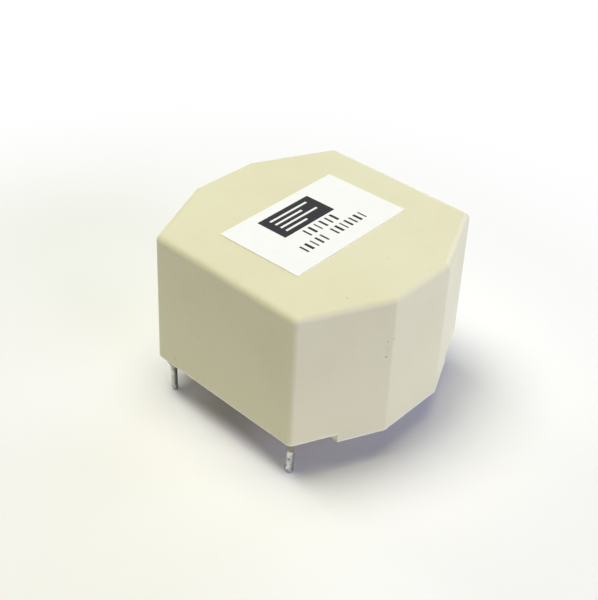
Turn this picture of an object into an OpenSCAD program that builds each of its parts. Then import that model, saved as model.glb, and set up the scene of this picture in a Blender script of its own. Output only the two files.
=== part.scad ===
// Potted ring transformer that solders into a circuit board.
// The pins stand on z = 0, +Z is up, and the winding's axis is the Z axis.
// X runs between the two end faces, Y between the two straight faces.

/* [Housing] */

// length over the end faces, at the roof
body_length = 40; // [34:0.1:52]
// width over the straight faces, at the roof
body_width = 38.4; // [34:0.1:50]
// height from the raised rim to the roof
body_height = 22.15; // [19:0.05:32]
// length of each straight face
side_length = 27.6; // [20:0.1:32]
// width of each end face
end_width = 11.8; // [8:0.1:18]
// outward lean of the walls toward the rim, in degrees
draft = 1.1; // [0.3:0.1:3]
// radius of the roof edge and of the upright corners
edge_radius = 1; // [0.4:0.1:2]
// thickness of the walls
wall = 1.1; // [0.9:0.1:1.3]
// thickness of the roof
roof = 1.8; // [1:0.1:3]
// how far the feet stand below the rim
foot_drop = 1.45; // [0.6:0.05:3]
// width of each foot along Y
foot_width = 25.7; // [14:0.1:30]
// diameter of the post that holds a pin
post_diameter = 3.2; // [2.4:0.1:3.6]
// height of the post above the rim
post_height = 7.65; // [5:0.05:10]

/* [Pins] */

// diameter of a pin
pin_diameter = 1.02; // [0.6:0.02:1.3]
// length of a pin below the feet
pin_reach = 5.6; // [3:0.1:8]
// radius of the bend that turns a pin inward above its post
bend_radius = 1; // [0.8:0.1:1.4]
// length of the straight tail behind the bend
tail_length = 2.4; // [2.2:0.1:2.8]
// distance along X from the end of the straight face to the pin
pin_inset_x = 1.1; // [0.8:0.05:2.5]
// distance along Y from the straight face to the pin
pin_inset_y = 1.42; // [1.3:0.02:2.5]
// diameter of a pin's shank inside its post
shank_diameter = 1.26; // [0.8:0.02:1.5]
// diameter of the collar that locks a pin in its post
collar_diameter = 1.7; // [1.3:0.1:2.2]

/* [Windings] */

// radius of the open middle of the finished ring
bore_radius = 3.7; // [2.5:0.1:5]
// gap from the outer tape to the wall, filled with compound
side_gap = 1.7; // [0.8:0.1:3]
// gap from the outer tape to the roof, filled with compound
roof_gap = 0.9; // [0.4:0.1:3]
// gap from the outer tape down to the surface of the compound
floor_gap = 2.35; // [1:0.05:4]
// thickness of the insulation round the core
core_cover = 0.5; // [0.3:0.1:1]
// thickness of the primary winding on the outside of the ring
primary_build = 1.6; // [0.8:0.1:2]
// thickness of the tape between the windings
middle_tape = 0.3; // [0.1:0.05:0.5]
// thickness of the secondary winding on the outside of the ring
secondary_build = 1.2; // [0.6:0.1:1.6]
// thickness of the outer tape
outer_tape_build = 0.3; // [0.1:0.05:0.5]
// how much thicker every layer is inside the ring than outside it
crowding = 1.25; // [1:0.05:1.4]
// edge radius of the core
core_edge = 0.5; // [0.2:0.1:1]

/* [Leads] */

// diameter of a lead wire
wire_diameter = 0.5; // [0.3:0.05:0.6]
// outer diameter of the sleeve on a lead
sleeve_diameter = 1.4; // [1:0.1:1.8]
// clearance between a lead and its sleeve, on the radius
sleeve_clearance = 0.05; // [0.02:0.01:0.15]
// length of a solder joint along the pin's tail
joint_length = 1.9; // [1.4:0.1:2]
// diameter of a solder joint
joint_diameter = 2.4; // [2.2:0.1:2.6]

/* [Compound and label] */

// depth of the compound's surface inside the rim
fill_recess = 0.4; // [0.1:0.1:2]
// long side of the label
label_length = 24.3; // [15:0.1:30]
// short side of the label
label_width = 14.9; // [10:0.1:20]
// thickness of the label
label_thickness = 0.12; // [0.05:0.01:0.3]
// how far the label was stuck on askew, in degrees
label_turn = 1.9; // [-5:0.1:5]
// how far the label sits off the middle, along X
label_shift = -0.56; // [-3:0.02:3]

/* [Hidden] */

$fn = 72;
arc_swell = 1.0015;
ball_swell = 1.003;
foot_z = pin_reach;
rim_z = foot_z + foot_drop;
roof_z = rim_z + body_height;
ceiling_z = roof_z - roof;
fill_z = rim_z + fill_recess;
post_z = rim_z + post_height;
bend_z = post_z + 0.1;
tail_z = bend_z + bend_radius;
lead_z = tail_z + (pin_diameter + wire_diameter) / 2 + 0.03;

lean = tan(draft);
slant_x = (body_length - side_length) / 2;
slant_y = (body_width - end_width) / 2;
slant = atan2(slant_x, slant_y);
slant_reach = cos(slant) * side_length / 2 + sin(slant) * body_width / 2;
face_turn = [slant, 0, -slant, -90, slant - 180, -180, -180 - slant, -270];

cover_out = core_cover;
primary_out = cover_out + primary_build;
middle_out = primary_out + middle_tape;
secondary_out = middle_out + secondary_build;
tape_out = secondary_out + outer_tape_build;
ring_radius = min(body_length, body_width) / 2 - wall - side_gap;
core_outer = ring_radius - tape_out;
core_inner = bore_radius + tape_out * crowding;
core_low = fill_z + floor_gap + tape_out;
core_high = ceiling_z - roof_gap - tape_out;

pin_x = side_length / 2 - pin_inset_x;
pin_y = body_width / 2 - pin_inset_y;
primary_sites = [[-pin_x, pin_y], [pin_x, pin_y]];
secondary_sites = [[-pin_x, -pin_y], [pin_x, -pin_y]];
sites = concat(primary_sites, secondary_sites);
pin_radius = pin_diameter / 2;
wire_radius = wire_diameter / 2;
joint_radius = joint_diameter / 2;
sleeve_radius = sleeve_diameter / 2;
pin_reach_out = norm([pin_x, pin_y]);
wire_end = pin_reach_out - bend_radius - 0.2;
sleeve_end = pin_reach_out - bend_radius - tail_length - 0.45;

// The eight corners of the roof's plan, moved in by t, clockwise from the one at +X +Y.
function side_corner(t) =
    [(slant_reach - t - sin(slant) * (body_width / 2 - t)) / cos(slant), body_width / 2 - t];
function end_corner(t) =
    [body_length / 2 - t, (slant_reach - t - cos(slant) * (body_length / 2 - t)) / sin(slant)];
function plan(t) = let (a = side_corner(t), b = end_corner(t))
    [a, b, [b.x, -b.y], [a.x, -a.y], -a, -b, [-b.x, b.y], [-a.x, a.y]];

// Section across a body with leaning walls and rounded top edges. Each arc passes a hair outside the
// straight lines, so that they cross it cleanly.
module wall_section(half, low, high, r) {
    foot = half + (high - low) * lean;
    middle = half - r * tan(45 - draft / 2);
    difference() {
        polygon([[-foot, low], [foot, low], [half, high], [-half, high]]);
        for (side = [-1, 1]) {
            difference() {
                polygon([[side * middle, high], [side * (middle + 2 * r), high + r],
                    [side * (middle + r * cos(draft)), high - r + r * sin(draft)]]);
                translate([side * middle, high - r]) circle(r * arc_swell);
            }
        }
    }
}

// Everything outside one rounded upright corner, between the two faces that meet there.
module corner_waste(turn, low, high, r) {
    depth = high - low + 2;
    spread = 4 * r * [cos(turn / 2), sin(turn / 2)];
    translate([0, 0, high - r]) rotate([0, -atan(lean / cos(turn / 2)), turn / 2]) difference() {
        translate([0, 0, -depth]) linear_extrude(depth + 2 * r)
            polygon([[0, 0], [spread.x, -spread.y], [7 * r, 0], spread]);
        rotate([0, 0, 180]) {
            sphere(r * ball_swell);
            translate([0, 0, -depth - 1]) cylinder(h = depth + 1, r = r * arc_swell);
        }
    }
}

// The eight-sided body with leaning walls, set in from the outer walls, between two heights.
module body(inset, low, high, r) {
    shrink = inset - (roof_z - high) * lean;
    corners = plan(shrink + r * tan(45 - draft / 2));
    faces = [[0, body_length / 2], [90, body_width / 2], [slant, slant_reach], [-slant, slant_reach]];
    difference() {
        intersection_for (face = faces) {
            rotate([0, 0, face[0]]) rotate([90, 0, 0]) linear_extrude(3 * body_length, center = true)
                wall_section(face[1] - shrink, low, high, r);
        }
        for (i = [0:7]) {
            translate([corners[i].x, corners[i].y, 0]) rotate([0, 0, face_turn[i]])
                corner_waste(face_turn[(i + 7) % 8] + (i == 0 ? 360 : 0) - face_turn[i], low, high, r);
        }
    }
}

module cavity() {
    body(wall, foot_z - 1, ceiling_z, edge_radius * 0.8);
}

// Section of the ring once it has grown outward by g from the bare core.
module ring_section(g) {
    left = core_inner - g * crowding;
    right = core_outer + g;
    low = core_low - g;
    high = core_high + g;
    r = core_edge + g;
    translate([left + r, low]) square([right - left - 2 * r, high - low]);
    translate([left, low + r]) square([right - left, high - low - 2 * r]);
    for (x = [left + r, right - r], z = [low + r, high - r]) {
        translate([x, z]) circle(r);
    }
}

module ring(g) {
    rotate_extrude() ring_section(g);
}

module layer(from, to) {
    rotate_extrude() difference() {
        ring_section(to);
        ring_section(from);
    }
}

// A rod of radius r that points from the ring's axis at a pin, between two distances.
module spoke(site, from, to, r) {
    rotate([0, 0, atan2(site.y, site.x)]) translate([from, 0, lead_z]) rotate([0, 90, 0])
        cylinder(h = to - from, r = r);
}

// Moves to a pin's place and turns its X axis straight away from the ring.
module at(site) {
    translate([site.x, site.y, 0]) rotate([0, 0, atan2(site.y, site.x)]) children();
}

module pin(site) {
    tip = pin_radius * 0.45;
    shank = shank_diameter / 2;
    collar = collar_diameter / 2;
    collar_z = rim_z + post_height * 0.45;
    color([0.8, 0.81, 0.8]) at(site) {
        rotate_extrude() polygon([[0, 0], [pin_radius - tip, 0], [pin_radius, tip], [pin_radius, rim_z],
            [shank, rim_z], [shank, collar_z], [collar, collar_z], [collar, collar_z + 0.8],
            [pin_radius, collar_z + 0.8], [pin_radius, bend_z], [0, bend_z]]);
        translate([-bend_radius, 0, bend_z]) rotate([90, 0, 0])
            rotate_extrude(angle = 90) translate([bend_radius, 0]) circle(pin_radius);
        translate([-bend_radius - tail_length, 0, tail_z]) rotate([0, 90, 0])
            cylinder(h = tail_length, r = pin_radius);
    }
}

module joint_body(site) {
    neck = pin_radius + 0.1;
    half = joint_length / 2;
    at(site) translate([-bend_radius - tail_length / 2 - 0.1, 0, tail_z]) rotate([0, 90, 0]) rotate_extrude()
        polygon([[0, -half], [neck, -half], [joint_radius * 0.84, -half * 0.78], [joint_radius, -half * 0.3],
            [joint_radius, half * 0.3], [joint_radius * 0.84, half * 0.78], [neck, half], [0, half]]);
}

module joint(site) {
    color([0.7, 0.71, 0.72]) difference() {
        joint_body(site);
        pin(site);
        spoke(site, sleeve_end, wire_end, wire_radius);
    }
}

module sleeve(site, from) {
    color([0.92, 0.92, 0.9]) difference() {
        spoke(site, from, sleeve_end, sleeve_radius);
        spoke(site, from - 1, sleeve_end + 1, wire_radius + sleeve_clearance);
    }
}

primary_surface = core_outer + primary_out;
secondary_surface = core_outer + secondary_out;
primary_start = primary_surface - primary_build / 2;
secondary_start = secondary_surface - secondary_build / 2;

module sleeve_holes(list, r) {
    for (site = list) {
        spoke(site, core_outer, sleeve_end, r);
    }
}

module housing() {
    color([0.9, 0.88, 0.76]) difference() {
        union() {
            difference() {
                body(0, foot_z, roof_z, edge_radius);
                cavity();
                for (side = [-1, 1]) {
                    translate([0, side * (foot_width + body_width) / 2, foot_z])
                        cube([2 * body_length, body_width, 2 * foot_drop], center = true);
                }
            }
            for (site = sites) {
                translate([site.x, site.y, rim_z]) cylinder(h = post_height, d = post_diameter);
            }
        }
        for (site = sites) {
            pin(site);
        }
    }
}

module compound() {
    color([0.62, 0.55, 0.36]) difference() {
        cavity();
        translate([0, 0, fill_z - 10]) cube([2 * body_length, 2 * body_width, 20], center = true);
        ring(tape_out);
        for (site = sites) {
            translate([site.x, site.y, rim_z]) cylinder(h = post_height, d = post_diameter);
            pin(site);
            joint_body(site);
            spoke(site, ring_radius - 1, sleeve_end, sleeve_radius);
            spoke(site, sleeve_end - 1, wire_end, wire_radius);
        }
    }
}

module core() {
    color([0.5, 0.5, 0.52]) ring(0);
}

module core_insulation() {
    color([0.95, 0.93, 0.85]) layer(0, cover_out);
}

module primary_winding() {
    color([0.7, 0.36, 0.18]) {
        layer(cover_out, primary_out);
        for (site = primary_sites) {
            spoke(site, primary_start, wire_end, wire_radius);
        }
    }
}

module winding_tape() {
    color([0.95, 0.8, 0.25]) difference() {
        layer(primary_out, middle_out);
        sleeve_holes(primary_sites, sleeve_radius);
    }
}

module secondary_winding() {
    color([0.78, 0.42, 0.2]) {
        difference() {
            layer(middle_out, secondary_out);
            sleeve_holes(primary_sites, sleeve_radius);
        }
        for (site = secondary_sites) {
            spoke(site, secondary_start, wire_end, wire_radius);
        }
    }
}

module outer_tape() {
    color([0.97, 0.85, 0.3]) difference() {
        layer(secondary_out, tape_out);
        sleeve_holes(sites, sleeve_radius);
    }
}

module label() {
    color([0.98, 0.98, 0.98]) translate([label_shift, 0, roof_z]) rotate([0, 0, label_turn])
        translate([-label_width / 2, -label_length / 2, 0]) cube([label_width, label_length, label_thickness]);
}

housing();
compound();
core();
core_insulation();
primary_winding();
winding_tape();
secondary_winding();
outer_tape();
pin(primary_sites[0]);  // primary_pin_left
pin(primary_sites[1]);  // primary_pin_right
pin(secondary_sites[0]);  // secondary_pin_left
pin(secondary_sites[1]);  // secondary_pin_right
joint(primary_sites[0]);  // primary_joint_left
joint(primary_sites[1]);  // primary_joint_right
joint(secondary_sites[0]);  // secondary_joint_left
joint(secondary_sites[1]);  // secondary_joint_right
sleeve(primary_sites[0], primary_surface);  // primary_sleeve_left
sleeve(primary_sites[1], primary_surface);  // primary_sleeve_right
sleeve(secondary_sites[0], secondary_surface);  // secondary_sleeve_left
sleeve(secondary_sites[1], secondary_surface);  // secondary_sleeve_right
label();
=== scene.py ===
import math

import bmesh
import bpy
from mathutils import Matrix, Vector, noise


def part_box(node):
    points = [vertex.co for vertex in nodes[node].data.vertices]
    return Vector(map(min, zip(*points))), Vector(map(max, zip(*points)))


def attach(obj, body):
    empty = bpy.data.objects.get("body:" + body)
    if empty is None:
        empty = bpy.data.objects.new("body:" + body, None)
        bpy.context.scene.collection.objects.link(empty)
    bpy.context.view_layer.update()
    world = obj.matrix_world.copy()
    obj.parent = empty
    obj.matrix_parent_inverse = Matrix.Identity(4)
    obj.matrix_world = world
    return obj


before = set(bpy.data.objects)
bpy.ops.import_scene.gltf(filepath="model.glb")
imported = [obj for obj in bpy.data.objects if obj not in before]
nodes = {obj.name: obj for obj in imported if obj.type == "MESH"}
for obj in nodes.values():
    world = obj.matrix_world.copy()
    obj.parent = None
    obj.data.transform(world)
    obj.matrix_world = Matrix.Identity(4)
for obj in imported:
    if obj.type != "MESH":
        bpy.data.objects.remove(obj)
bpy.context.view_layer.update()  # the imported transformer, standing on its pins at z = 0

mm = 0.001
print("frame loaded:", len(nodes), "solids")


class Signal:
    # wraps one output socket, so that shader maths reads as plain expressions

    def __init__(self, tree, out=None):
        self.tree, self.out = tree, out

    def make(self, kind, inputs=None, result=0, stops=None, **settings):
        # any node: its settings first, then a value or a link for each of its sockets
        node = self.tree.nodes.new(kind)
        for name, value in settings.items():
            setattr(node, name, value)
        if stops:
            ramp = node.color_ramp.elements
            while len(ramp) < len(stops):
                ramp.new(0.5)
            for element, (place, colour) in zip(ramp, stops):
                element.position, element.color = place, (*colour, 1)
        for name, value in (inputs or {}).items():
            if isinstance(value, Signal):
                self.tree.links.new(value.out, node.inputs[name])
            else:
                node.inputs[name].default_value = value
        return Signal(self.tree, node.outputs[result])

    def maths(self, operation, other=None):
        inputs = {0: self} if other is None else {0: self, 1: other}
        return self.make("ShaderNodeMath", inputs, operation=operation)

    def takenFrom(self, number):
        return self.make("ShaderNodeMath", {0: number, 1: self}, operation="SUBTRACT")

    def __add__(self, other): return self.maths("ADD", other)
    def __radd__(self, other): return self.maths("ADD", other)
    def __sub__(self, other): return self.maths("SUBTRACT", other)
    def __rsub__(self, other): return self.takenFrom(other)
    def __mul__(self, other): return self.maths("MULTIPLY", other)
    def __rmul__(self, other): return self.maths("MULTIPLY", other)
    def __pow__(self, other): return self.maths("POWER", other)
    def __abs__(self): return self.maths("ABSOLUTE")

    def smooth(self, low, high):
        # 0 at low, 1 at high, eased at both ends; high may be below low
        return self.make("ShaderNodeMapRange", {"Value": self, "From Min": low, "From Max": high},
                         interpolation_type="SMOOTHSTEP")


class Finish:
    # one material: its shader, and its object coordinates in millimetres

    def __init__(self, name, **shader):
        self.material = bpy.data.materials.new(name)
        self.material.use_nodes = True
        self.tree = self.material.node_tree
        self.shader = self.tree.nodes["Principled BSDF"]
        for socket, value in shader.items():
            self.shader.inputs[socket].default_value = value
        coordinates = Signal(self.tree).make("ShaderNodeTexCoord", result="Object")
        self.place = coordinates.make("ShaderNodeVectorMath", {0: coordinates, "Scale": 1 / mm},
                                      operation="SCALE")
        split = self.place.make("ShaderNodeSeparateXYZ", {0: self.place})
        self.x, self.y, self.z = (Signal(self.tree, split.out.node.outputs[i]) for i in range(3))
        self.bumped = None

    def noise(self, scale, detail=2.0, rough=0.5, place=None):
        return self.place.make("ShaderNodeTexNoise", {"Vector": place or self.place, "Scale": scale,
                               "Detail": detail, "Roughness": rough}, result="Fac")

    def cells(self, scale):
        # the distance to the nearest of many scattered points
        return self.place.make("ShaderNodeTexVoronoi", {"Vector": self.place, "Scale": scale},
                               result="Distance")

    def stretched(self, scale):
        return self.place.make("ShaderNodeMapping", {"Vector": self.place, "Scale": scale})

    def near(self, centre, reach):
        # 1 around a point, falling smoothly to 0 at its reach along each axis
        offset = self.place.make("ShaderNodeVectorMath", {0: self.place, 1: centre}, operation="SUBTRACT")
        share = self.place.make("ShaderNodeVectorMath", {0: offset, 1: reach}, operation="DIVIDE")
        length = self.place.make("ShaderNodeVectorMath", {0: share}, result="Value", operation="LENGTH")
        return length.smooth(1.0, 0.2)

    def blend(self, factor, first, second):
        # from the first colour to the second; a plain colour is three numbers
        first, second = (tone if isinstance(tone, Signal) else (*tone, 1) for tone in (first, second))
        return self.place.make("ShaderNodeMix", {0: factor, 6: first, 7: second}, result=2,
                               data_type="RGBA")

    def ramp(self, factor, *stops):
        return self.place.make("ShaderNodeValToRGB", {"Fac": factor}, stops=stops)

    def bump(self, height, depth):
        # height runs from 0 to 1, depth is what that stands for in millimetres
        inputs = {"Height": height, "Distance": depth * mm, "Strength": 1.0}
        if self.bumped:
            inputs["Normal"] = self.bumped
        self.bumped = self.place.make("ShaderNodeBump", inputs)

    def wear(self, *names, **sockets):
        # plugs the given sockets and puts the finish on the named solids
        if self.bumped:
            sockets["Normal"] = self.bumped
        for socket, value in sockets.items():
            self.tree.links.new(value.out, self.shader.inputs[socket.replace("_", " ")])
        for name in names:
            nodes[name].data.materials.clear()
            nodes[name].data.materials.append(self.material)
        return self.material


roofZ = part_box("housing")[1].z / mm
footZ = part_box("housing")[0].z / mm

housing = {
    "cream": (0.745, 0.715, 0.495),
    "paler": (0.765, 0.738, 0.525),
    "duller": (0.722, 0.688, 0.465),
    # painted light: the sides grow paler towards the rim, standing in for more light on their lower part
    "rim": (0.79, 0.757, 0.525),
    # painted highlight along the lower edges
    "lowEdgeHighlight": (0.97, 0.95, 0.85),
    "dirt": (0.36, 0.34, 0.22),
    "lint": (0.93, 0.92, 0.82),
    "roughness": 0.5,
    "grain": 0.010,      # depth of the moulded grain, mm
    "waviness": 0.05,    # depth of the slow sink marks, mm
    "pitDepth": 0.12,
    "edgeLine": 0.3,     # height of the painted highlight, a pale line along the lower edges, mm
    "footDrop": 1.45,    # how far the feet stand below the rim, mm
    "footWidth": 25.7,
    # each mark: its middle, its reach along x, y and z, and how dark it is
    "pits": [
        ((19.76, -6.73, 22.17), (0.2, 0.2, 0.2), 0.6),
        ((20.13, -5.93, 22.46), (0.2, 0.2, 0.2), 0.6),
        ((19.78, -6.82, 19.57), (0.25, 0.25, 0.22), 0.7),
        ((19.62, -6.98, 21.3), (0.2, 0.3, 0.16), 0.25),
        ((-4.70, -19.45, 15.98), (0.15, 0.2, 0.15), 0.7),
        ((15.15, -10.66, 29.2), (0.3, 0.12, 0.2), 0.6),
        ((6.95, -19.1, 29.05), (0.16, 0.7, 0.7), 0.22),
    ],
    "smudges": [
        ((12.92, 0.61, 29.2), (0.5, 0.2, 0.3), 0.25),
        ((-10.26, -19.59, 8.83), (0.3, 0.4, 0.7), 0.3),
        ((19.85, -6.65, 20.7), (0.4, 0.6, 1.1), 0.10),
    ],
    "speck": ((-7.45, -19.41, 18.11), (0.3, 0.3, 0.2)),
}
rimZ = footZ + housing["footDrop"]


def housingFinish():
    plastic = Finish("housing_plastic", **{"Specular IOR Level": 0.4})
    cloudy = plastic.noise(0.09, 3.0)
    mottled = plastic.noise(0.8, 4.0, 0.6)
    grain = plastic.noise(6.5, 3.0, 0.6)
    colour = plastic.ramp(cloudy * 0.7 + mottled * 0.3, (0.3, housing["duller"]), (0.5, housing["cream"]),
                          (0.75, housing["paler"]))
    # painted light: paler from 6 mm under the roof down to the rim, standing in for light on the lower
    # sides
    colour = plastic.blend(plastic.z.smooth(roofZ - 6, rimZ) * 0.9, colour, housing["rim"])
    footEnd = housing["footWidth"] / 2
    onFoot = abs(plastic.y).smooth(footEnd + 0.05, footEnd - 0.05)
    aboveEdge = plastic.z - rimZ + onFoot * housing["footDrop"]
    # painted highlight: a pale line, broken up by noise, along the lower edges and the feet
    edge = abs(aboveEdge).smooth(housing["edgeLine"], 0.14) * plastic.noise(0.5, 3.0).smooth(0.2, 0.55)
    colour = plastic.blend(edge * 0.85, colour, housing["lowEdgeHighlight"])
    smudged = sum((plastic.near(centre, reach) * dark for centre, reach, dark in housing["smudges"]), 0.0)
    pitted = sum((plastic.near(centre, reach) * dark for centre, reach, dark in housing["pits"]), 0.0)
    speck = plastic.near(*housing["speck"])
    colour = plastic.blend(smudged + pitted, colour, housing["dirt"])
    colour = plastic.blend(speck, colour, housing["lint"])
    plastic.bump(plastic.noise(0.16, 2.0), housing["waviness"])
    plastic.bump(grain, housing["grain"])
    plastic.bump(1.0 - pitted + speck, housing["pitDepth"])
    plastic.wear("housing", Base_Color=colour, Roughness=housing["roughness"] + (mottled - 0.5) * 0.15)


housingFinish()
print("housing finished")


compound = {
    "olive": (0.36, 0.32, 0.19),
    "amber": (0.45, 0.39, 0.23),
    "roughness": 0.28,
    "unevenness": 0.25,   # depth of the slow waves in the surface, mm
    "bubbleDepth": 0.15,
}


def compoundFinish():
    cast = Finish("cast_compound", **{"Specular IOR Level": 0.5})
    swirl = cast.noise(0.25, 4.0, 0.55)
    bubbles = cast.cells(0.9).smooth(0.16, 0.05)
    colour = cast.ramp(swirl, (0.35, compound["olive"]), (0.65, compound["amber"]))
    cast.bump(cast.noise(0.35, 2.0), compound["unevenness"])
    cast.bump(1.0 - bubbles, compound["bubbleDepth"])
    cast.wear("compound", Base_Color=colour, Roughness=compound["roughness"] + swirl * 0.2)


compoundFinish()
print("compound finished")


pinNames = ["primary_pin_left", "primary_pin_right", "secondary_pin_left", "secondary_pin_right"]

pins = {
    "tin": (0.52, 0.52, 0.51),
    "dull": (0.38, 0.38, 0.375),
    "bright": (0.68, 0.68, 0.67),
    # painted reflection: dark for the shadowed floor a pin's side reflects, and for the real dark spots
    # on the solder
    "darkSpotsAndReflection": (0.26, 0.26, 0.225),
    "darkReflectionWay": 41.8,   # the side of each pin painted dark as a painted reflection of the shadowed floor, degrees round from +X
    "stain": (0.24, 0.21, 0.125),
    "stainFrom": 4.0,     # flux has browned the tin from here up to the root, mm
    "burnt": (0.05, 0.048, 0.04),
    "burntAt": [((12.15, -18.4, 0.75), (0.6, 0.6, 0.5)), ((12.9, -18.35, 2.9), (0.3, 0.4, 0.25))],
    "radius": 0.51,
    "spacing": (25.4, 35.56),
}
solder = {
    "tip": 0.34,    # height of the rounded end, mm
    "under": 0.01,  # how far it reaches below the pin, mm
    "rings": 30,
    "frost": 0.04,  # depth of its frosted grain, mm
    "spots": 0.05,
    # how high the dip reached, how thick and how uneven it is, then its lumps:
    # each one's height, reach, size, and way round in radians, or None for all round
    "dips": {
        "primary_pin_left": (3.6, 0.02, 0.02, [(2.0, 0.5, 0.05, 1.0)]),
        "primary_pin_right": (4.1, 0.02, 0.03, [(1.1, 0.4, 0.12, 4.4), (2.9, 0.8, 0.04, None)]),
        "secondary_pin_left": (1.0, 0.012, 0.006, []),
        "secondary_pin_right": (4.2, 0.015, 0.03, [(0.72, 0.34, 0.29, 3.87), (3.1, 0.9, 0.085, None)]),
    },
}
resin = {
    # radius and height of the resin drawn down each pin's root, mm
    "profile": [(1.42, 7.0), (1.32, 6.4), (1.1, 5.75), (0.8, 5.25), (0.6, 4.85), (0.515, 4.5)],
    "crown": 0.08,   # how far it domes into the compound above, mm
    "lumps": 0.12,   # how uneven its width is, as a share
    "cream": (0.58, 0.55, 0.40),
    # painted shade: the cream resin as it looks in shade
    "shadedCream": (0.26, 0.23, 0.13),
    # how much of it there is at each pin, and how much painted shade turns it brown
    "amount": {"primary_pin_left": (0.8, 0.4), "primary_pin_right": (0.6, 0.8),
               "secondary_pin_left": (0.9, 0.0), "secondary_pin_right": (0.45, 1.0)},
}


def pinPlace(name):
    # the pins stand at the corners of their grid; left is -X and primary is +Y
    x = pins["spacing"][0] / 2 * (1 if name.endswith("right") else -1)
    y = pins["spacing"][1] / 2 * (1 if name.startswith("primary") else -1)
    return Vector((x, y, 0)) * mm


def darkSide(finish, fromHere):
    # 1 on the side of every pin that is painted dark, a painted reflection of the shadowed floor; the
    # pins repeat at their spacing
    across, along = ((spot * (1 / pitch)).maths("FRACT") * pitch - pitch / 2
                     for spot, pitch in zip((finish.x, finish.y), pins["spacing"]))
    way = math.radians(pins["darkReflectionWay"])
    towards = across * math.cos(way) + along * math.sin(way) + (finish.noise(1.5, 3.0) - 0.5) * 0.3
    return towards.smooth(fromHere, fromHere + 0.12)


def pinFinish():
    tin = Finish("pin_tin")
    streaks = tin.noise(5.0, 3.0, 0.6, tin.stretched((1.0, 1.0, 0.06)))
    blotches = tin.noise(1.6, 4.0, 0.6)
    colour = tin.ramp(streaks * 0.6 + blotches * 0.4, (0.35, pins["dull"]), (0.5, pins["tin"]),
                      (0.65, pins["bright"]))
    # painted reflection: the dark side of the bare pin stands in for the shadowed floor it reflects
    dark = darkSide(tin, -0.1)
    colour = tin.blend(dark * 0.8, colour, pins["darkSpotsAndReflection"])
    stained = (tin.z + (blotches - 0.5) * 0.8).smooth(pins["stainFrom"] - 0.15, pins["stainFrom"] + 0.2)
    # painted shade: the real flux stain is made stronger on the dark-painted side of each pin
    stained = stained * (dark * 0.7 + 0.3)
    tin.bump(streaks, 0.006)
    tin.wear(*pinNames, Base_Color=tin.blend(stained * 0.85, colour, pins["stain"]),
             Roughness=0.16 + blotches * 0.12 + stained * 0.25, Metallic=1.0 - stained * 0.7)


def coatFinish():
    coat = Finish("dipped_solder", Metallic=1.0)
    frost = coat.noise(1.5, 3.0, 0.5)
    spots = coat.cells(1.3).smooth(0.22, 0.08)
    colour = coat.ramp(frost, (0.35, pins["dull"]), (0.6, pins["bright"]))
    # painted reflection on the dark side, together with the solder's real dark spots
    colour = coat.blend(darkSide(coat, 0.22) * 0.55 + spots * 0.7, colour, pins["darkSpotsAndReflection"])
    burnt = sum((coat.near(centre, reach) for centre, reach in pins["burntAt"]), 0.0)
    burnt = burnt * coat.noise(3.5, 3.0, 0.7).smooth(0.40, 0.52)
    colour = coat.blend(burnt, colour, pins["burnt"])
    coat.bump(frost, solder["frost"])
    coat.bump(1.0 - spots, solder["spots"])
    return coat.wear(Base_Color=colour, Roughness=0.22 + frost * 0.2)


def turned(profile, sides=40):
    # a round body from the radius and height of its outline, top to bottom or bottom to top
    bm = bmesh.new()
    points = [bm.verts.new((r, 0, z)) for r, z in profile]
    edges = [bm.edges.new(pair) for pair in zip(points, points[1:])]
    bmesh.ops.spin(bm, geom=points + edges, axis=(0, 0, 1), cent=(0, 0, 0), angle=math.tau, steps=sides,
                   use_merge=True)
    bmesh.ops.remove_doubles(bm, verts=bm.verts, dist=1e-4)
    bmesh.ops.holes_fill(bm, edges=[e for e in bm.edges if e.is_boundary], sides=0)
    bmesh.ops.recalc_face_normals(bm, faces=bm.faces)
    return bm


def swelling(spot, lumps, seed):
    # which way is out at a spot, and how far the lumps of solder stand out there
    outward = Vector((spot.x, spot.y, 0)).normalized()
    spread = 0.65
    swell = 0.0
    for z, reach, size, way in lumps:
        aside = 0 if way is None else outward.dot(Vector((math.cos(way), math.sin(way), 0))) - 1
        rough = 1 + 0.4 * noise.noise(spot * 5.0 + Vector((seed, seed, 0)))
        swell += size * rough * math.exp(-(aside / spread) ** 2 - ((spot.z - z) / reach) ** 2)
    return outward, swell


def coatPin(name, material):
    # a skin of solder on the lower end of a pin, round at the tip
    height, skin, uneven, lumps = solder["dips"][name]
    seed = pinNames.index(name) * 7.3
    outer, tip, rings = pins["radius"] + skin, solder["tip"], solder["rings"]
    depth = tip + solder["under"]
    profile = [(0.0, tip - depth)]
    profile += [(outer * math.sin(t), tip - depth * math.cos(t)) for t in (0.35, 0.7, 1.05, 1.3, 1.5)]
    # the skin thins out to just inside the pin at its top
    profile += [(outer - (skin + 0.004) * (i / rings) ** 5, tip + (height - tip) * i / rings)
                for i in range(1, rings + 1)]
    bm = turned(profile)
    for v in bm.verts:
        if math.hypot(v.co.x, v.co.y) < 0.1 or v.co.z > height - 0.02:
            continue
        outward, swell = swelling(v.co, lumps, seed)
        swell += uneven * (0.4 + noise.noise(v.co * 1.5 + Vector((seed, 0, seed))))
        v.co += outward * swell * min(1.0, (height - v.co.z) / 0.5, 0.15 + v.co.z / depth)
    return settle(bm, name, "solder_coat", material)


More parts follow.
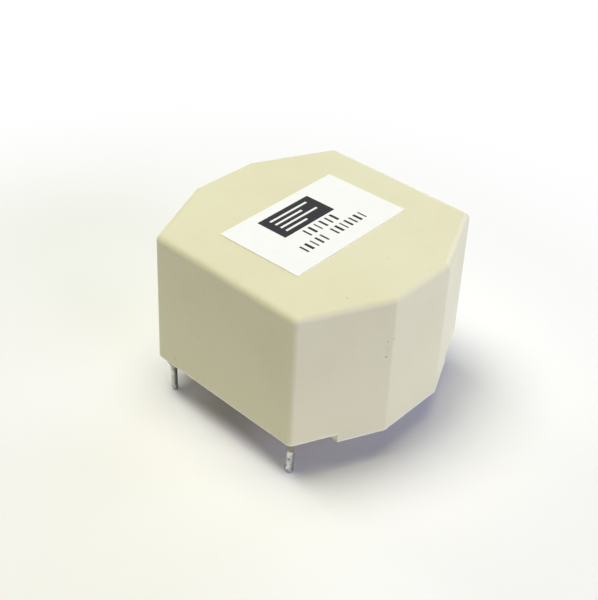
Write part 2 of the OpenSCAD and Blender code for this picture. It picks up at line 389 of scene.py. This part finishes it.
def addResin(name):
    # resin drawn down the root of a pin when the box was filled
    amount, shadedShare = resin["amount"][name]
    material = resinFinish(name, shadedShare)
    outline = [(pins["radius"] + (r - pins["radius"]) * amount, z) for r, z in resin["profile"]]
    bm = turned([(0, outline[0][1] + resin["crown"])] + outline + [(0, outline[-1][1])])
    seed = pinNames.index(name) * 3.1
    for v in bm.verts:
        away = math.hypot(v.co.x, v.co.y)
        if away > 0.55:
            lumpy = resin["lumps"] * noise.noise(v.co * 0.9 + Vector((seed, seed, 0)))
            v.co += Vector((v.co.x, v.co.y, 0)) * lumpy * (away - 0.5) / away
    return settle(bm, name, "resin_root", material)


def settle(bm, pinName, kind, material):
    # from millimetres at the origin to metres at its pin
    bmesh.ops.scale(bm, vec=(mm, mm, mm), verts=bm.verts)
    bmesh.ops.translate(bm, vec=pinPlace(pinName), verts=bm.verts)
    return finishPiece(bm, pinName.replace("pin", kind), material)


def resinFinish(name, shadedShare):
    drawn = Finish(name.replace("pin", "resin"), **{"Specular IOR Level": 0.5})
    swirl = drawn.noise(1.3, 3.0)
    # painted shade: each pin's share of shade blends the cream towards brown
    colour = drawn.blend(swirl * 0.25 + shadedShare * 0.8, resin["cream"], resin["shadedCream"])
    drawn.bump(swirl, 0.06)
    return drawn.wear(Base_Color=colour, Roughness=0.3 + swirl * 0.2)


def finishPiece(bm, name, material, smooth=True):
    mesh = bpy.data.meshes.new(name)
    bm.to_mesh(mesh)
    bm.free()
    for face in mesh.polygons:
        face.use_smooth = smooth
    piece = bpy.data.objects.new(name, mesh)
    bpy.context.scene.collection.objects.link(piece)
    mesh.materials.append(material)
    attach(piece, "root")
    return piece


pinFinish()
dippedSolder = coatFinish()
for pinName in pinNames:
    coatPin(pinName, dippedSolder)
    addResin(pinName)
print("pins coated and rooted in resin")


label = {
    "paper": (0.93, 0.93, 0.925),
    "greyer": (0.90, 0.90, 0.89),
    "unprinted": (0.80, 0.80, 0.79),
    "ink": (0.015, 0.015, 0.0165),
    "turn": 1.9,                             # degrees that it was stuck on askew
    "block": (-2.83, -0.83, 5.5, 10.95),     # middle, then size across and along the label, mm
    "stripes": [(-4.42, -0.83, 0.4, 8.0), (-3.36, -1.93, 0.4, 5.8), (-2.3, -0.83, 0.4, 8.0),
                (-1.24, -2.53, 0.4, 4.6)],
    "inkRise": 0.012,                        # how far the print stands on the paper, mm
    "stripeRise": 0.016,
    # rows of plain strokes: across, from, to, how many, stroke length
    "rows": [(1.30, -3.1, 2.9, 6, 1.75), (3.80, -6.6, -2.2, 5, 1.75), (3.80, 0.1, 6.4, 7, 1.75)],
    "strokes": (0.34, 0.5, 0.26, 0.42),      # their widths, in turn
}


def strokeBars():
    bars = []
    for x, start, end, count, height in label["rows"]:
        for i in range(count):
            width = label["strokes"][i % len(label["strokes"])]
            bars.append((x, start + (end - start) * i / (count - 1), height, width))
    return bars


def labelFinish():
    paper = Finish("label_paper", **{"Specular IOR Level": 0.35})
    fibre = paper.noise(9.0, 4.0, 0.7)
    cloudy = paper.noise(0.6, 2.0)
    colour = paper.ramp(fibre * 0.5 + cloudy * 0.5, (0.3, label["greyer"]), (0.6, label["paper"]))
    paper.bump(fibre, 0.004)
    paper.wear("label", Base_Color=colour, Roughness=0.6 + fibre * 0.15)


def printFinish(name, colour, roughness):
    ink = Finish(name, **{"Specular IOR Level": 0.15})
    wear = ink.noise(4.0, 4.0, 0.7)
    faded = tuple(min(1.0, c * 1.5) for c in colour)
    tone = ink.ramp(wear, (0.35, colour), (0.75, faded))
    return ink.wear(Base_Color=tone, Roughness=roughness + wear * 0.1)


def printBars(name, bars, low, high, material, corner):
    # plain printed bars on the label; each is middle x, middle y, width and length
    lowest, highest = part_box("label")
    centre = (lowest + highest) / 2
    bm = bmesh.new()
    for x, y, width, length in bars:
        made = bmesh.ops.create_cube(bm, size=1.0)["verts"]
        bmesh.ops.scale(bm, vec=(width, length, high - low), verts=made)
        upright = [e for e in bm.edges
                   if e.verts[0] in made and abs((e.verts[0].co - e.verts[1].co).z) > 1e-6]
        made = bmesh.ops.bevel(bm, geom=upright, affect="EDGES", offset=corner, segments=3, profile=0.5,
                               material=-1)["verts"] + made
        made = [v for v in set(made) if v.is_valid]
        bmesh.ops.translate(bm, vec=(x, y, (low + high) / 2), verts=made)
    bmesh.ops.scale(bm, vec=(mm, mm, mm), verts=bm.verts)
    bmesh.ops.rotate(bm, cent=(0, 0, 0), matrix=Matrix.Rotation(math.radians(label["turn"]), 3, "Z"),
                     verts=bm.verts)
    bmesh.ops.translate(bm, vec=(centre.x, centre.y, highest.z), verts=bm.verts)
    return finishPiece(bm, name, material, smooth=False)


labelFinish()
darkInk = printFinish("label_ink", label["ink"], 0.5)
bareStripe = printFinish("label_unprinted", label["unprinted"], 0.6)
printBars("label_print", [label["block"]] + strokeBars(), -0.004, label["inkRise"], darkInk, 0.08)
printBars("label_stripes", label["stripes"], 0.0, label["stripeRise"], bareStripe, 0.05)
print("label printed")


windings = {
    "radius": 15,     # where the turns lie side by side, mm
    "crown": 0.12,    # depth of the gaps between them, mm
    # the wire's diameter in mm, its colour, and the colour of the gaps, painted shade between the turns
    "primary": {"wire": 0.5, "lacquer": (0.45, 0.16, 0.06), "gap": (0.16, 0.05, 0.02)},
    "secondary": {"wire": 0.8, "lacquer": (0.56, 0.24, 0.09), "gap": (0.20, 0.07, 0.03)},
}


def aroundRing(finish):
    # angle about the ring's axis, in radians
    return finish.y.maths("ARCTAN2", finish.x)


def wireFinish(name):
    wire = windings[name]
    copper = Finish(name + "_copper", Metallic=1.0)
    turns = round(math.tau * windings["radius"] / wire["wire"])
    wave = (aroundRing(copper) * turns + copper.noise(0.4, 2.0) * 1.5).maths("SINE")
    crown = abs(wave)
    tone = copper.noise(0.9, 3.0)
    brighter = tuple(min(1.0, c * 1.35) for c in wire["lacquer"])
    lacquer = copper.ramp(tone, (0.3, wire["lacquer"]), (0.7, brighter))
    copper.bump(crown, windings["crown"])
    # painted shade: the lacquer darkens into the grooves between turns
    copper.wear(name + "_winding", Base_Color=copper.blend(crown, wire["gap"], lacquer),
                Roughness=0.22 + tone * 0.15)


tapes = {
    "step": 0.05,   # how far one turn of film stands on the last, mm
    # each film's colour, how many turns it is lapped in, and the layers made of it
    "films": {
        "winding_film": ((0.82, 0.60, 0.12), 34, ["winding_tape", "outer_tape"]),
        "core_film": ((0.84, 0.80, 0.68), 26, ["core_insulation"]),
    },
}


def tapeFinish(name):
    colour, turns, layers = tapes["films"][name]
    film = Finish(name, **{"Specular IOR Level": 0.6})
    lap = (aroundRing(film) * (turns / math.tau) + film.z * 0.05).maths("FRACT")
    edge = lap.smooth(0.06, 0.0)
    ripple = film.noise(1.2, 3.0)
    film.bump(lap, tapes["step"])
    film.bump(ripple, tapes["step"])
    shade = tuple(c * 0.72 for c in colour)
    film.wear(*layers, Base_Color=film.blend(edge * 0.7 + ripple * 0.3, colour, shade),
              Roughness=0.3 + ripple * 0.2)


core = {
    "gap": (0.25, 0.26, 0.28),
    "steel": (0.52, 0.53, 0.55),
    "strips": 3.4,   # how many turns of strip there are in a mm
}


def coreFinish():
    steel = Finish("core_strip", Metallic=1.0)
    radius = (steel.x ** 2.0 + steel.y ** 2.0).maths("SQRT")
    turns = radius * (math.tau * core["strips"])
    strip = (turns + steel.noise(0.3, 2.0) * 2.0).maths("SINE") * 0.5 + 0.5
    colour = steel.ramp(strip, (0.1, core["gap"]), (0.6, core["steel"]))
    steel.bump(strip, 0.05)
    steel.wear("core", Base_Color=colour, Roughness=0.35 + steel.noise(2.0) * 0.2)


sleeve = {
    # painted shade: the hollows of the weave are darker than the strands
    "hollow": (0.70, 0.69, 0.64),
    "strand": (0.88, 0.88, 0.84),
    "weave": 9.0,   # how close the strands lie
}


def sleeveFinish():
    glass = Finish("woven_sleeve", **{"Specular IOR Level": 0.4})
    strands = (glass.x + glass.z) * sleeve["weave"], (glass.y - glass.z) * sleeve["weave"]
    braid = abs(strands[0].maths("SINE")) * abs(strands[1].maths("SINE"))
    glass.bump(braid, 0.05)
    # painted shade in the hollows between strands
    glass.wear(*[name.replace("pin", "sleeve") for name in pinNames],
               Base_Color=glass.ramp(braid, (0.2, sleeve["hollow"]), (0.8, sleeve["strand"])),
               Roughness=0.75 - braid * 0.1)


joint = {
    "dull": (0.52, 0.53, 0.54),
    "bright": (0.72, 0.73, 0.74),
}


def jointFinish():
    blob = Finish("solder_joint", Metallic=1.0)
    frost = blob.noise(3.0, 3.0)
    blob.bump(frost, 0.06)
    blob.wear(*[name.replace("pin", "joint") for name in pinNames],
              Base_Color=blob.ramp(frost, (0.3, joint["dull"]), (0.7, joint["bright"])),
              Roughness=0.25 + frost * 0.25)


for windingName in ("primary", "secondary"):
    wireFinish(windingName)
for filmName in tapes["films"]:
    tapeFinish(filmName)
coreFinish()
sleeveFinish()
jointFinish()
print("inner parts finished")


floor = {
    "size": 6.0,
    "white": (0.94, 0.94, 0.94),
    # the camera sees it fade to plain white between these distances from the middle, in metres
    "fade": (0.065, 0.12),
    "middle": (0.0, -0.02, 0.0),
}

lamps = {
    # name: degrees round from +X, degrees up, distance in metres, size in metres, power in watts, colour
    "key": (215, 72, 0.8, 0.40, 3.05, (1.0, 0.985, 0.95)),
    "overhead": (0, 90, 0.8, 0.50, 2.2, (1.0, 0.99, 0.60)),
    "right": (2, 20, 0.8, 0.45, 2.8, (0.72, 0.68, 1.0)),
    "rightBack": (50, 15, 0.8, 0.40, 1.4, (0.69, 0.84, 1.0)),
    "back": (100, 20, 0.8, 0.50, 2.2, (0.50, 0.54, 1.0)),
    "left": (180, 35, 0.8, 0.30, 0.7, (0.87, 0.99, 1.0)),
}


def seenRays(signal):
    # 1 for what the camera sees, straight or by a reflection; the object's diffuse light is left alone
    path = signal.make("ShaderNodeLightPath", result="Is Camera Ray")
    glossy, through = (Signal(path.tree, path.out.node.outputs[name])
                       for name in ("Is Glossy Ray", "Is Transmission Ray"))
    return path.maths("MAXIMUM", glossy).maths("MAXIMUM", through)


def buildFloor():
    bm = bmesh.new()
    bmesh.ops.create_grid(bm, x_segments=1, y_segments=1, size=floor["size"] / 2)
    mesh = bpy.data.meshes.new("floor")
    bm.to_mesh(mesh)
    bm.free()
    piece = bpy.data.objects.new("floor", mesh)
    bpy.context.scene.collection.objects.link(piece)
    card = Finish("floor_card", Roughness=0.9, **{"Specular IOR Level": 0.1})
    card.shader.inputs["Base Color"].default_value = (*floor["white"], 1)
    middle = Vector(floor["middle"]) / mm
    away = card.place.make("ShaderNodeVectorMath", {0: card.place, 1: middle}, result="Value",
                           operation="DISTANCE")
    near, far = (reach / mm for reach in floor["fade"])
    white = card.place.make("ShaderNodeEmission", {"Color": (1, 1, 1, 1)})
    shown = card.place.make("ShaderNodeMixShader", {0: seenRays(card.place) * away.smooth(near, far),
                            1: Signal(card.tree, card.shader.outputs[0]), 2: white})
    card.tree.links.new(shown.out, card.tree.nodes["Material Output"].inputs["Surface"])
    mesh.materials.append(card.material)


def buildLamps():
    middle = Vector((0, 0, 0.015))   # what every lamp faces
    for name, (around, above, away, size, power, colour) in lamps.items():
        data = bpy.data.lights.new(name, "AREA")
        data.shape, data.size, data.energy, data.color = "DISK", size, power, colour
        lamp = bpy.data.objects.new(name, data)
        bpy.context.scene.collection.objects.link(lamp)
        around, above = math.radians(around), math.radians(above)
        lamp.location = Vector((math.cos(around) * math.cos(above), math.sin(around) * math.cos(above),
                                math.sin(above))) * away
        lamp.rotation_euler = (middle - lamp.location).to_track_quat("-Z", "Y").to_euler()
    # the room is dark, but the camera sees it white beyond the floor
    world = bpy.data.worlds.new("room")
    bpy.context.scene.world = world
    world.use_nodes = True
    tree = world.node_tree
    dark = tree.nodes["Background"]
    dark.inputs["Color"].default_value = (0, 0, 0, 1)
    seen = seenRays(Signal(tree))
    white = seen.make("ShaderNodeBackground", {"Color": (1, 1, 1, 1)})
    room = seen.make("ShaderNodeMixShader", {0: seen, 1: Signal(tree, dark.outputs[0]), 2: white})
    tree.links.new(room.out, tree.nodes["World Output"].inputs["Surface"])


camera = {
    "azimuth": 41.83,
    "elevation": 36.69,
    "roll": 2.64,
    "target": (1.62, -5.055, 18.674),
    "distance": 152.65,
    "lens": 61.47,
}


def buildCamera():
    around, above, roll = (math.radians(camera[key]) for key in ("azimuth", "elevation", "roll"))
    side = Vector((math.cos(around), math.sin(around), 0))
    front = Vector((math.sin(around), -math.cos(around), 0))
    back = front * math.cos(above) + Vector((0, 0, math.sin(above)))
    turned = Matrix((side, back.cross(side), back)).transposed() @ Matrix.Rotation(roll, 3, "Z")
    data = bpy.data.cameras.new("camera")
    data.lens, data.clip_start = camera["lens"], 0.01
    seat = bpy.data.objects.new("camera", data)
    bpy.context.scene.collection.objects.link(seat)
    seat.matrix_world = Matrix.Translation((Vector(camera["target"]) + back * camera["distance"]) * mm) \
        @ turned.to_4x4()
    bpy.context.scene.camera = seat


buildFloor()
buildLamps()
buildCamera()
bpy.context.scene.view_settings.view_transform = "Standard"
print("floor, light and camera set")
